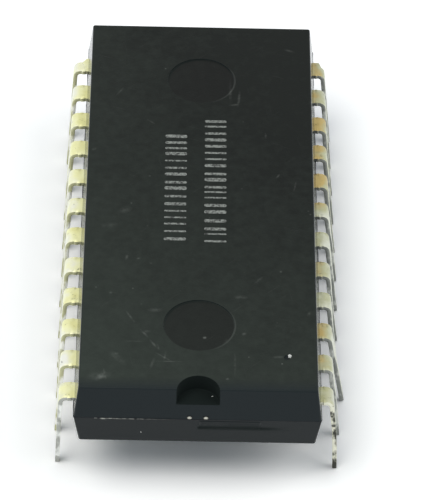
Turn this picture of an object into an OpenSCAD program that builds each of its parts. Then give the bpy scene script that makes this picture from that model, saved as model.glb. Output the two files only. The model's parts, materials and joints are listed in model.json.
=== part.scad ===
// Plastic dual-in-line package with 24 leads and a body for rows 0.6 inch apart.
// Length runs along Y with the notched end at -Y, the rows of leads stand at -X and +X, and up is +Z.
// The origin is the centre of the lead grid, in the plane that the lead tips stand on.

/* [Moulded body] */
// Length over the parting line
body_l = 31.75; // [31.4:0.05:32.1]
// Width over the parting line
body_w = 13.97; // [13.7:0.01:14.2]
// Height of the upper half above the parting line
upper_h = 2.15; // [1.9:0.01:2.3]
// Depth of the lower half below the parting line
lower_h = 2.15; // [1.8:0.01:2.4]
// Draft of the walls from upright, in degrees
draft = 7.6; // [5:0.1:12]
// Radius of the four upright corners
corner_r = 0.12; // [0.08:0.01:0.5]
// Radius of the edges round the top and the underside
edge_r = 0.12; // [0.06:0.01:0.3]

/* [Pin 1 notch] */
// Radius of the half-round notch
notch_r = 1.21; // [1:0.01:1.5]
// Depth of the notch below the top face
notch_depth = 1.06; // [0.8:0.01:1.3]
// Distance of the notch's centre from the end of the body
notch_in = 0.13; // [0:0.01:0.3]

/* [Ejector marks] */
// Diameter of the round marks
mark_d = 4.05; // [3:0.05:5]
// Depth of the marks
mark_depth = 0.05; // [0.02:0.01:0.1]
// Distance between the centres of the two marks of a face
mark_spacing = 21.05; // [18:0.05:23]

/* [Broken gate] */
// Width of the gate stub on the near end
gate_w = 3.45; // [2:0.05:4.5]
// Height of the gate stub
gate_h = 0.7; // [0.4:0.05:1]
// Distance of the stub's edge from the middle of the end
gate_x = 0.1; // [-1:0.05:1]
// Distance from the parting line down to the stub
gate_drop = 0.1; // [0:0.01:0.3]
// How far the stub stands proud of the wall
gate_rise = 0.08; // [0.03:0.01:0.15]

/* [Leads outside the body] */
// Distance from one lead to the next
pitch = 2.54; // [2.5:0.01:2.58]
// Flat length of the shoulders from the wall to the bend
shoulder_l = 0.345; // [0.2:0.005:0.4]
// How far both formed rows stand off towards -X
row_shift = 0.09; // [0:0.01:0.12]
// Thickness of the lead frame
lead_t = 0.25; // [0.2:0.01:0.3]
// Width of the shoulder and of the upper leg
shoulder_w = 1.22; // [1.05:0.01:1.5]
// Width of the lower leg
leg_w = 0.46; // [0.38:0.01:0.56]
// Width across the end of the leg
tip_w = 0.26; // [0.15:0.01:0.4]
// Length over which the leg narrows to its end
tip_l = 0.4; // [0.2:0.05:0.8]
// Radius inside the bend
bend_r = 0.2; // [0.15:0.01:0.25]
// Length of the leg below the bend of an upright lead
leg_l = 5.53; // [5.2:0.01:5.8]
// Length of the wide part of the leg below the bend
wide_l = 1.2; // [1:0.05:1.6]
// Length over which the leg narrows from wide to thin
step_l = 0.9; // [0.5:0.05:1.1]

/* [Lead fingers inside the body] */
// Distance from the wall to the locking neck of a finger
neck_in = 0.4; // [0.3:0.05:0.8]
// Length of the locking neck
neck_l = 0.5; // [0.3:0.05:0.8]
// Width of the locking neck
neck_w = 0.76; // [0.6:0.02:0.9]
// Length of the slopes on both sides of the neck
neck_slope = 0.1; // [0.05:0.01:0.2]
// Width of the finger past the neck
finger_w = 0.8; // [0.6:0.02:0.9]
// Width of the finger where the wire is bonded
finger_tip_w = 0.42; // [0.3:0.01:0.5]
// Distance between neighbouring finger tips along the side of the paddle
side_tip_pitch = 1.1; // [0.9:0.05:1.2]
// Distance between neighbouring finger tips along the end of the paddle
end_tip_pitch = 0.7; // [0.6:0.02:0.75]
// Gap between the finger tips and the paddle
finger_gap = 0.55; // [0.3:0.05:0.7]
// Gap between the tie bar and the nearest finger tip
tie_gap = 0.35; // [0.25:0.01:0.5]

/* [Die paddle] */
// Length of the paddle
paddle_l = 6.4; // [6:0.1:7]
// Width of the paddle
paddle_w = 5.5; // [5.2:0.1:6]
// Depth of the paddle below the fingers
paddle_drop = 0.35; // [0.28:0.01:0.45]
// Length of the slope that lowers the tie bar to the paddle
drop_l = 0.5; // [0.4:0.05:0.55]
// Width of the tie bar
tie_w = 1.2; // [1:0.02:1.3]
// Width of one prong of the tie bar's fork
prong_w = 0.28; // [0.2:0.01:0.4]
// Distance between the centres of the two prongs
prong_spacing = 0.92; // [0.7:0.01:0.96]
// Length of the prongs
prong_l = 3.2; // [2:0.1:5]

/* [Die] */
// Length of the die
die_l = 2.9; // [2.5:0.05:3.2]
// Width of the die
die_w = 2.5; // [2.3:0.05:3]
// Thickness of the die
die_t = 0.38; // [0.3:0.01:0.42]
// Thickness of the layer that holds the die
attach_t = 0.03; // [0.02:0.005:0.05]
// How far that layer shows round the die
attach_rim = 0.12; // [0.05:0.01:0.2]
// Distance from the edge of the die to the centres of its pads
pad_in = 0.13; // [0.1:0.01:0.2]
// Distance between neighbouring pads
pad_pitch = 0.36; // [0.25:0.01:0.38]

/* [Bond wires] */
// Diameter of the gold wire
wire_d = 0.033; // [0.025:0.001:0.05]
// Diameter of the ball at the die
ball_d = 0.085; // [0.07:0.005:0.1]
// Height of the ball
ball_h = 0.03; // [0.02:0.005:0.04]
// Height over which the ball narrows to the wire
ball_taper = 0.015; // [0.01:0.001:0.02]
// Height of the wire's loop above the die
loop_h = 0.24; // [0.18:0.01:0.35]
// Distance from the end of the finger to the wire's landing
landing_in = 0.22; // [0.15:0.01:0.3]

/* [Hidden] */
// Number of leads on a side, with the lead that is nearest the notch first
per_side = 12;
// Angle of each leg from upright, outwards, in degrees, from lead 1 to lead 24
splay = [4.2, 6.4, 9.7, 6.7, 6.8, 7.3, 7.4, 7, 6.7, 6.4, 6, 5.8,
         3.6, 4, 3.8, 4.2, 4.4, 4.1, 4.5, 4.2, 4, 3.8, 3.7, 2.5];
// How far each tip leans along its row, from lead 1 to lead 24
lean = [-0.02, 0.05, 0.24, -0.04, 0.12, 0.12, 0.1, 0.03, 0.06, 0.1, 0.02, 0,
        0, -0.02, 0.05, 0.03, -0.04, 0.06, 0.02, -0.05, 0.04, 0.08, 0.03, 0.13];
// Leads cut back to the leg's width on their far side: number, start of the slanting cut from the wall, run
side_cuts = [[12, 0.34, 0.16], [13, 0.08, 0.24]];
// Distance from the wall to the knee of each finger, from the middle of the row to its end
knee_in = [1.8, 1.4, 1.15, 1.15, 1.4, 2.1];
// Rise of the second knee of a finger above its tip, for the fingers that end beyond the paddle
rise = [0, 0, 0, 0.9, 2.2, 5.2];
// Sideways offset of that second knee
side_step = [0, 0, 0, 0.35, 0.35, 0.3];

// Fingers of a quadrant that end beside the paddle, and the rank of the last one
side_fingers = 3;
last_rank = per_side / 2 - 1;
// Points of a wire's loop: way from the ball to the landing, and share of its height above the finger
loop_shape = [[0, 0.68], [0.05, 0.92], [0.16, 1], [0.4, 0.86], [0.75, 0.46]];
// Signs of X and Y in the four quadrants
corner_signs = [[1, 1], [-1, 1], [-1, -1], [1, -1]];

row_mid = (per_side - 1) / 2;
bend_out = bend_r + lead_t;
// Height of the centre of the bends, at which the lowest tip just stands on Z = 0
bend_z = max([for (a = splay) leg_length(a) * cos(a) - bend_r * sin(a)]);
lead_z = bend_z + bend_r + lead_t / 2;
parting_z = lead_z - lead_t / 2;
top_z = parting_z + upper_h;
bottom_z = parting_z - lower_h;
paddle_z = lead_z - paddle_drop;
attach_z = paddle_z + lead_t / 2;
die_z = attach_z + attach_t;
die_top = die_z + die_t;
finger_top = lead_z + lead_t / 2;
side_tip_x = paddle_w / 2 + finger_gap;
end_tip_y = paddle_l / 2 + finger_gap;
end_tip_x = tie_w / 2 + finger_tip_w / 2 + tie_gap;

body_color = [0.18, 0.19, 0.19];
lead_color = [0.78, 0.76, 0.6];
frame_color = [0.74, 0.73, 0.69];
attach_color = [0.75, 0.75, 0.73];
die_color = [0.35, 0.38, 0.45];
wire_color = [0.9, 0.72, 0.25];

// Steps in a quarter circle of an outline, sides of a wire, and cut overlap
arc_steps = 5;
edge_steps = 4;
wire_sides = 6;
eps = 0.2;
$fn = 96;

// Places of lead n: its row, its place in the row counted from the notch, and its place from the middle
function lead_side(n) = n <= per_side ? 1 : -1;
function lead_index(n) = n <= per_side ? n - 1 : 2 * per_side - n;
function lead_y(n) = (lead_index(n) - row_mid) * pitch;
function lead_end(n) = lead_index(n) > row_mid ? 1 : -1;
function lead_rank(n) = abs(lead_index(n) - row_mid) - 0.5;

// Distance of the centre of a lead's bend from the middle of the body
function bend_x(n) = body_w / 2 + shoulder_l - lead_side(n) * row_shift;

// Length of a leg that leans out by angle a, so that every lead is cut from a strip of one length
function leg_length(a) = leg_l + (bend_r + lead_t / 2) * a * PI / 180;

// Direction from point a to point b
function toward(a, b) = (b - a) / norm(b - a);

// Direction of a path at its point i, halfway between its two sides there
function heading(path, i) =
    let (e = len(path) - 1, before = toward(path[max(i - 1, 0)], path[max(i, 1)]),
         after = toward(path[min(i, e - 1)], path[min(i + 1, e)]))
    (before + after) / norm(before + after);

// Outline of a flat strip that follows a path, with its own width at each point
function ribbon(path, widths) = concat(
    [for (i = [0:len(path) - 1]) path[i] + ribbon_side(path, i) * widths[i] / 2],
    [for (i = [len(path) - 1:-1:0]) path[i] - ribbon_side(path, i) * widths[i] / 2]);
function ribbon_side(path, i) =
    let (d = heading(path, i), s = i > 0 ? toward(path[i - 1], path[i]) : d)
    [-d.y, d.x] / (d * s);

// Outline of a rectangle with rounded corners at height z, drawn in by inset
function rounded_ring(l, w, r, inset, z) = [
    for (q = [0:3], s = [0:arc_steps])
        let (a = 90 * (q + s / arc_steps), c = corner_signs[q])
        [c.x * (w / 2 - inset - r) + r * cos(a), c.y * (l / 2 - inset - r) + r * sin(a), z]];

// Rings of one half of the body from the parting line out to its flat face
function half_rings(h, dir) =
    let (fillet_z = h - edge_r, fillet_in = fillet_z * tan(draft) + edge_r / cos(draft))
    [for (s = [0:edge_steps])
        let (a = draft + (90 - draft) * s / edge_steps)
        rounded_ring(body_l, body_w, corner_r, fillet_in - edge_r * cos(a),
            parting_z + dir * (fillet_z + edge_r * sin(a)))];

// Points of a finger in the quadrant +X +Y, from the end of the shoulder in to its tip
function finger_path(m, end_x) =
    let (y = (m + 0.5) * pitch, wall = body_w / 2, neck = wall - neck_in, past = neck - neck_l,
         tip = finger_tip(m), knee = [wall - knee_in[m], y])
    concat([[end_x, y], [neck, y], [neck - neck_slope, y], [past, y], [past - neck_slope, y], knee],
        rise[m] > 0 ? [tip + [side_step[m], rise[m]]] : [], [tip]);
function finger_widths(m) = concat(
    [shoulder_w, shoulder_w, neck_w, neck_w, finger_w, finger_w],
    rise[m] > 0 ? [(finger_w + finger_tip_w) / 2] : [], [finger_tip_w]);
function finger_tip(m) = m < side_fingers
    ? [side_tip_x, (m + 0.5) * side_tip_pitch]
    : [end_tip_x + (last_rank - m) * end_tip_pitch, end_tip_y];

// Die pad and landing of the wire of a finger, in the same quadrant
function pad_place(m) = m < side_fingers
    ? [die_w / 2 - pad_in, (m + 0.5) * pad_pitch]
    : [(last_rank - m + 0.5) * pad_pitch, die_l / 2 - pad_in];
function landing_place(m) =
    let (p = finger_path(m, body_w / 2), e = len(p) - 1)
    p[e] + toward(p[e], p[e - 1]) * landing_in;

// Points of a bond wire and its radius at each: ball, rise, loop and long slope to the landing
function wire_path(a, b) = concat(
    [for (z = [0, ball_h, ball_h + ball_taper]) [a.x, a.y, die_top + z]],
    [for (p = loop_shape) [a.x + (b.x - a.x) * p[0], a.y + (b.y - a.y) * p[0],
        finger_top + (die_top + loop_h - finger_top) * p[1]]],
    [[b.x, b.y, finger_top]]);
function wire_radius(i) = i < 2 ? ball_d / 2 : wire_d / 2;

// Ring i of a wire: across its path, and level at both ends so that it seats flat
function wire_ring(path, i) =
    let (e = len(path) - 1,
         way = path[e] - path[0],
         u = [-way.y, way.x, 0] / norm([way.x, way.y]),
         d = i < 3 ? [0, 0, 1] : i == e ? [0, 0, -1] : heading(path, i),
         v = cross(d, u))
    [for (s = [0:wire_sides - 1])
        let (a = 360 * s / wire_sides)
        path[i] + wire_radius(i) * (cos(a) * u + sin(a) * v)];

// Solid through a list of rings with equal numbers of points, which turn left seen from the far end
module skin(rings) {
    n = len(rings[0]);
    last = len(rings) - 1;
    polyhedron(
        points = [for (r = rings) for (p = r) p],
        faces = concat(
            [[for (i = [0:n - 1]) i]],
            [for (k = [0:last - 1], i = [0:n - 1])
                let (j = (i + 1) % n)
                [k * n + i, (k + 1) * n + i, (k + 1) * n + j, k * n + j]],
            [[for (i = [n - 1:-1:0]) last * n + i]]));
}

// Places its children in the quadrant of lead n
module in_quadrant(n) {
    mirror([lead_side(n) > 0 ? 0 : 1, 0, 0]) mirror([0, lead_end(n) > 0 ? 0 : 1, 0]) children();
}

// Inner finger and shoulder of a lead, as one flat strip in the plane of the lead frame
module finger(n) {
    in_quadrant(n) translate([0, 0, lead_z - lead_t / 2])
        linear_extrude(lead_t)
            polygon(ribbon(finger_path(lead_rank(n), bend_x(n)), finger_widths(lead_rank(n))));
}

// Outline of the leg below the bend: wide part, step, thin part and pointed end
module leg_outline(length, shift) {
    thin = wide_l + step_l;
    end = length - tip_l;
    at_end = shift * (end - thin) / (length - thin);
    polygon([[-shoulder_w / 2, 0], [shoulder_w / 2, 0], [shoulder_w / 2, -wide_l],
        [leg_w / 2, -thin], [at_end + leg_w / 2, -end], [shift + tip_w / 2, -length],
        [shift - tip_w / 2, -length], [at_end - leg_w / 2, -end], [-leg_w / 2, -thin],
        [-shoulder_w / 2, -wide_l]]);
}

// Bend and leg of a lead
module bent_leg(n) {
    angle = splay[n - 1];
    mirror([lead_side(n) > 0 ? 0 : 1, 0, 0]) translate([bend_x(n), lead_y(n), bend_z]) {
        rotate([90, 0, 0]) rotate([0, 0, angle]) rotate_extrude(angle = 90 - angle)
            translate([bend_r, -shoulder_w / 2]) square([lead_t, shoulder_w]);
        rotate([0, -angle, 0]) translate([bend_r, 0, 0]) rotate([90, 0, 90])
            linear_extrude(lead_t) leg_outline(leg_length(angle), lean[n - 1]);
    }
}

// Slanting cut on the far side of a lead, from its shoulder down to the thin part of its leg
module side_cut(n, start, run) {
    low = bend_z - wide_l - step_l;
    reach = shoulder_l + row_shift + 2 * bend_out;
    mirror([lead_side(n) > 0 ? 0 : 1, 0, 0]) translate([body_w / 2, lead_y(n), low])
        linear_extrude(lead_z + lead_t - low)
            polygon([[start, shoulder_w / 2], [start + run, leg_w / 2], [reach, leg_w / 2],
                [reach, shoulder_w / 2 + eps], [start, shoulder_w / 2 + eps]]);
}

module lead(n) {
    color(lead_color) difference() {
        union() {
            finger(n);
            bent_leg(n);
        }
        for (c = side_cuts) if (c[0] == n) side_cut(n, c[1], c[2]);
    }
}

// Forked tie bar from the paddle to one end face
module tie_bar() {
    top = lead_t / 2;
    start = paddle_l / 2;
    knee = start + drop_l;
    fork = body_l / 2 - prong_l;
    translate([tie_w / 2, 0, lead_z]) rotate([90, 0, -90]) linear_extrude(tie_w)
        polygon([[-start, -paddle_drop - top], [-knee, -top], [-fork, -top],
            [-fork, top], [-knee, top], [-start, top - paddle_drop]]);
    for (x = [-1, 1])
        translate([x * prong_spacing / 2 - prong_w / 2, fork, lead_z - top])
            cube([prong_w, prong_l, lead_t]);
}

module die_paddle() {
    color(frame_color) union() {
        translate([-paddle_w / 2, -paddle_l / 2, paddle_z - lead_t / 2]) cube([paddle_w, paddle_l, lead_t]);
        tie_bar();
        mirror([0, 1, 0]) tie_bar();
    }
}

module die_attach() {
    l = die_l + 2 * attach_rim;
    w = die_w + 2 * attach_rim;
    color(attach_color) translate([-w / 2, -l / 2, attach_z]) cube([w, l, attach_t]);
}

module silicon_die() {
    color(die_color) translate([-die_w / 2, -die_l / 2, die_z]) cube([die_w, die_l, die_t]);
}

module bond_wire(n) {
    m = lead_rank(n);
    path = wire_path(pad_place(m), landing_place(m));
    color(wire_color) in_quadrant(n) skin([for (i = [0:len(path) - 1]) wire_ring(path, i)]);
}

// Outer form of the moulding: two drafted halves with rounded corners and edges
module body_form() {
    below = half_rings(lower_h, -1);
    above = half_rings(upper_h, 1);
    skin(concat([for (i = [edge_steps:-1:0]) below[i]],
        [rounded_ring(body_l, body_w, corner_r, 0, parting_z)], above));
}

// Stub of the broken gate on the sloping wall of the near end, just below the parting line
module gate_stub() {
    high = parting_z - gate_drop;
    low = high - gate_h;
    y_high = -body_l / 2 + gate_drop * tan(draft);
    y_low = -body_l / 2 + (gate_drop + gate_h) * tan(draft);
    translate([gate_x, 0, 0]) rotate([90, 0, 90]) linear_extrude(gate_w)
        polygon([[y_high - gate_rise, high], [y_low - gate_rise, low],
            [y_low + eps, low], [y_high + eps, high]]);
}

module ejector_marks() {
    for (y = [-1, 1], z = [top_z - mark_depth, bottom_z + mark_depth - eps])
        translate([0, y * mark_spacing / 2, z]) cylinder(d = mark_d, h = eps);
}

module moulded_body() {
    color(body_color) difference() {
        union() {
            body_form();
            gate_stub();
        }
        translate([0, notch_in - body_l / 2, top_z - notch_depth])
            cylinder(r = notch_r, h = notch_depth + eps);
        ejector_marks();
        for (n = [1:2 * per_side]) {
            finger(n);
            bond_wire(n);
        }
        die_paddle();
        die_attach();
        silicon_die();
    }
}

moulded_body();
lead(1);  // lead_01
lead(2);  // lead_02
lead(3);  // lead_03
lead(4);  // lead_04
lead(5);  // lead_05
lead(6);  // lead_06
lead(7);  // lead_07
lead(8);  // lead_08
lead(9);  // lead_09
lead(10);  // lead_10
lead(11);  // lead_11
lead(12);  // lead_12
lead(13);  // lead_13
lead(14);  // lead_14
lead(15);  // lead_15
lead(16);  // lead_16
lead(17);  // lead_17
lead(18);  // lead_18
lead(19);  // lead_19
lead(20);  // lead_20
lead(21);  // lead_21
lead(22);  // lead_22
lead(23);  // lead_23
lead(24);  // lead_24
die_paddle();
die_attach();
silicon_die();
bond_wire(1);  // bond_wire_01
bond_wire(2);  // bond_wire_02
bond_wire(3);  // bond_wire_03
bond_wire(4);  // bond_wire_04
bond_wire(5);  // bond_wire_05
bond_wire(6);  // bond_wire_06
bond_wire(7);  // bond_wire_07
bond_wire(8);  // bond_wire_08
bond_wire(9);  // bond_wire_09
bond_wire(10);  // bond_wire_10
bond_wire(11);  // bond_wire_11
bond_wire(12);  // bond_wire_12
bond_wire(13);  // bond_wire_13
bond_wire(14);  // bond_wire_14
bond_wire(15);  // bond_wire_15
bond_wire(16);  // bond_wire_16
bond_wire(17);  // bond_wire_17
bond_wire(18);  // bond_wire_18
bond_wire(19);  // bond_wire_19
bond_wire(20);  // bond_wire_20
bond_wire(21);  // bond_wire_21
bond_wire(22);  // bond_wire_22
bond_wire(23);  // bond_wire_23
bond_wire(24);  // bond_wire_24
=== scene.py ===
"""A dual-in-line integrated circuit with 24 splayed leads, standing on white paper.

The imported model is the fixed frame. The moulded body and the 24 leads are modelled again here, with what
moulding, trimming, forming and age leave on them. The parts sealed in the body keep their solids and get
their finishes. Sizes are in millimetres and are turned to metres where a mesh is made.
"""

from __future__ import annotations

import json
import logging
import math
import random
from contextlib import contextmanager
from dataclasses import dataclass, field
from enum import Enum
from functools import cached_property
from itertools import starmap
from typing import Any, Callable, Iterator, Sequence

import bmesh
import bpy
from bpy.types import Material, NodeOutputs, NodeSocket, Object, World
from mathutils import Matrix, Vector, noise

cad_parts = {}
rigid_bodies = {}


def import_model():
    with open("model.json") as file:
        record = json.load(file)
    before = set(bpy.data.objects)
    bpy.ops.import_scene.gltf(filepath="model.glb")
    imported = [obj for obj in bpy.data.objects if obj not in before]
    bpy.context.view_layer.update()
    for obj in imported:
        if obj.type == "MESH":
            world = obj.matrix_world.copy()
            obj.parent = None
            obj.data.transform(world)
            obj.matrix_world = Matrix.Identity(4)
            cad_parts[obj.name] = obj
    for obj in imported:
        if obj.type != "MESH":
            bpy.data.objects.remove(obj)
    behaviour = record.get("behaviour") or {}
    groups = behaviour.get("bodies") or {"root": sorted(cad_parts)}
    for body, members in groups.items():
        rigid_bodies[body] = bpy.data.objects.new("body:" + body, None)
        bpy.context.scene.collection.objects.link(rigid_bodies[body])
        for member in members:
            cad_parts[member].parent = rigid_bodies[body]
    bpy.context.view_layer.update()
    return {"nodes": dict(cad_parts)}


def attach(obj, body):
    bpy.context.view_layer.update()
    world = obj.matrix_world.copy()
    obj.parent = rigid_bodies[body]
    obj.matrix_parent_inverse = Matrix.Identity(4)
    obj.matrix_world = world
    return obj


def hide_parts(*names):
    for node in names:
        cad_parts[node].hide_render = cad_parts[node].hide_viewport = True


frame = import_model()

logging.basicConfig(level=logging.INFO, format="%(message)s")
log = logging.getLogger("integrated_circuit")

MM = 0.001
PHOTO_SIZE = (431, 500)
LEADS = 24
PER_SIDE = LEADS // 2
SEED = 24  # of the random draws
PUNCH_REACH = 0.5  # mm that a cutting tool stands out of the face that it cuts


class Row(Enum):
    """The two rows of leads, by the sign of their side along X."""

    RIGHT = 1
    LEFT = -1


class Half(Enum):
    """The two halves of the moulding, by their direction from the parting line."""

    UPPER = 1
    LOWER = -1


# Colours and nodes


def linear(hex_colour: str) -> tuple[float, float, float, float]:
    """Turns an sRGB colour into a linear one.

    Args:
        hex_colour: The colour as "#RRGGBB".

    Returns:
        Red, green, blue and an alpha of 1.
    """
    parts = [int(hex_colour[i:i + 2], 16) / 255 for i in (1, 3, 5)]
    red, green, blue = (p / 12.92 if p <= 0.04045 else ((p + 0.055) / 1.055) ** 2.4 for p in parts)
    return red, green, blue, 1.0


class Nodes:
    """The node tree of a material or of the world."""

    def __init__(self, owner: Material | World) -> None:
        """Turns on the owner's nodes."""
        owner.use_nodes = True
        self.owner = owner
        self.tree = owner.node_tree

    def feed(self, socket: NodeSocket, value: Any) -> None:
        """Links an input to another socket, or sets it to a value or to a colour given as "#RRGGBB"."""
        if isinstance(value, NodeSocket):
            self.tree.links.new(value, socket)
        else:
            socket.default_value = linear(value) if isinstance(value, str) else value

    def add(self, kind: str, *inputs: Any, **named: Any) -> NodeSocket:
        """Adds a node with its settings and links.

        Args:
            kind: The node's type name, without the "ShaderNode" that it starts with.
            inputs: What goes to the inputs in use, in their order.
            named: The node's settings, and further inputs by their names, which have a capital.

        Returns:
            The first of the node's outputs in use.
        """
        node = self.tree.nodes.new("ShaderNode" + kind)
        for name, value in named.items():
            if name.islower():
                setattr(node, name, value)
        for socket, value in zip((socket for socket in node.inputs if socket.enabled), inputs):
            self.feed(socket, value)
        for name, value in named.items():
            if not name.islower():
                self.feed(node.inputs[name], value)
        return next(socket for socket in node.outputs if socket.enabled)

    def show(self, usual: str, seen: NodeSocket, output: str) -> None:
        """Lets a camera, a mirror or glass see another shader than the one that bounces or gives light.

        Args:
            usual: Name of the shader that bounces or gives light.
            seen: Output of the shader that is seen.
            output: Name of the tree's output.
        """
        path = self.add("LightPath").node.outputs
        direct = self.add("Math", path["Is Camera Ray"], path["Is Glossy Ray"], operation="MAXIMUM")
        looked_at = self.add("Math", direct, path["Is Transmission Ray"], operation="MAXIMUM")
        both = self.add("MixShader", looked_at, self.tree.nodes[usual].outputs[0], seen)
        self.feed(self.tree.nodes[output].inputs["Surface"], both)


class SurfaceNodes(Nodes):
    """The nodes of a new material, which read Object coordinates in mm."""

    def __init__(self, name: str) -> None:
        """Adds the material."""
        super().__init__(bpy.data.materials.new(name))

    @cached_property
    def coords(self) -> NodeOutputs:
        """The kinds of coordinates."""
        return self.add("TexCoord").node.outputs

    @cached_property
    def place(self) -> NodeSocket:
        """The place on the surface in mm."""
        return self.add("VectorMath", self.coords["Object"], 1 / MM, operation="SCALE")

    @cached_property
    def axes(self) -> NodeOutputs:
        """X, Y and Z of the place."""
        return self.add("SeparateXYZ", self.place).node.outputs

    def material(self, inputs: dict[str, Any]) -> Material:
        """Feeds the shader and returns the material."""
        for name, value in inputs.items():
            self.feed(self.tree.nodes["Principled BSDF"].inputs[name], value)
        return self.owner


# Meshes


def select_only(obj: Object) -> None:
    """Deselects everything and makes obj the one selected and active object."""
    bpy.ops.object.select_all(action="DESELECT")
    obj.select_set(True)
    bpy.context.view_layer.objects.active = obj


def select_parts(obj: Object, mode: str, test: Callable[[Any], bool]) -> None:
    """Selects the vertices, edges or faces that pass a test, in edit mode.

    Args:
        obj: The object in edit mode.
        mode: "VERT", "EDGE" or "FACE".
        test: Says of one element whether it is selected.
    """
    bpy.ops.mesh.select_mode(type=mode)
    bpy.ops.mesh.select_all(action="DESELECT")
    edit = bmesh.from_edit_mesh(obj.data)
    elements = {"VERT": edit.verts, "EDGE": edit.edges, "FACE": edit.faces}[mode]
    for element in elements:
        if test(element):
            element.select_set(True)
    edit.select_flush_mode()
    bmesh.update_edit_mesh(obj.data)


@contextmanager
def editing() -> Iterator[None]:
    """Keeps edit mode on for the lines under it."""
    bpy.ops.object.mode_set(mode="EDIT")
    yield
    bpy.ops.object.mode_set(mode="OBJECT")


def added(name: str) -> Object:
    """Names the primitive that was just added, puts its place and size into its mesh, and returns it."""
    obj = bpy.context.object
    obj.name = obj.data.name = name
    bpy.ops.object.transform_apply(location=True, rotation=True, scale=True)
    return obj


def apply_modifier(obj: Object, kind: str, **settings: Any) -> None:
    """Adds a modifier with its settings to obj and applies it."""
    select_only(obj)
    modifier = obj.modifiers.new(kind.lower(), kind)
    for name, value in settings.items():
        setattr(modifier, name, value)
    bpy.ops.object.modifier_apply(modifier=modifier.name)


def cut(obj: Object, tool: Object, operation: str = "DIFFERENCE") -> None:
    """Cuts tool from obj, or joins it to obj, and removes the tool."""
    apply_modifier(obj, "BOOLEAN", operation=operation, object=tool, solver="EXACT")
    bpy.data.objects.remove(tool)


def copied(obj: Object, name: str) -> Object:
    """Returns a copy of obj with its own mesh."""
    copy = obj.copy()
    copy.data = obj.data.copy()
    copy.name = copy.data.name = name
    copy.parent = None
    copy.matrix_world = Matrix.Identity(4)
    bpy.context.collection.objects.link(copy)
    return copy


def joined(objects: Sequence[Object], name: str) -> Object:
    """Joins objects into the first of them and names it."""
    bpy.ops.object.select_all(action="DESELECT")
    for obj in objects:
        obj.select_set(True)
    bpy.context.view_layer.objects.active = objects[0]
    bpy.ops.object.join()
    objects[0].name = objects[0].data.name = name
    return objects[0]


def clean(obj: Object) -> None:
    """Merges doubled vertices of obj and turns its faces outwards."""
    select_only(obj)
    with editing():
        bpy.ops.mesh.select_all(action="SELECT")
        bpy.ops.mesh.remove_doubles(threshold=1e-7)
        bpy.ops.mesh.normals_make_consistent(inside=False)


def shade(obj: Object, degrees: float) -> None:
    """Shades obj smooth except over edges sharper than the angle."""
    select_only(obj)
    bpy.ops.object.shade_smooth_by_angle(angle=math.radians(degrees))


def dress(obj: Object, material: Material) -> None:
    """Gives every material slot of obj the material, and adds a slot where it has none."""
    if not obj.material_slots:
        obj.data.materials.append(material)
    for place in obj.material_slots:
        place.material = material


def ripple(point: Vector, size: float, seed: float = 0.0) -> float:
    """Returns smooth noise from -1 to 1 at a point in mm, with waves of the given size in mm."""
    return noise.noise(point / size + Vector((seed, 1.7 * seed, -seed)))


# Finishes


@dataclass(frozen=True)
class Scuff:
    """A scratched or rubbed place on the top: a soft ellipse that is broken up by noise."""

    x: float
    y: float
    turn: float  # degrees from +X to its length
    length: float  # half of it
    width: float  # half of it
    strength: float


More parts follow.
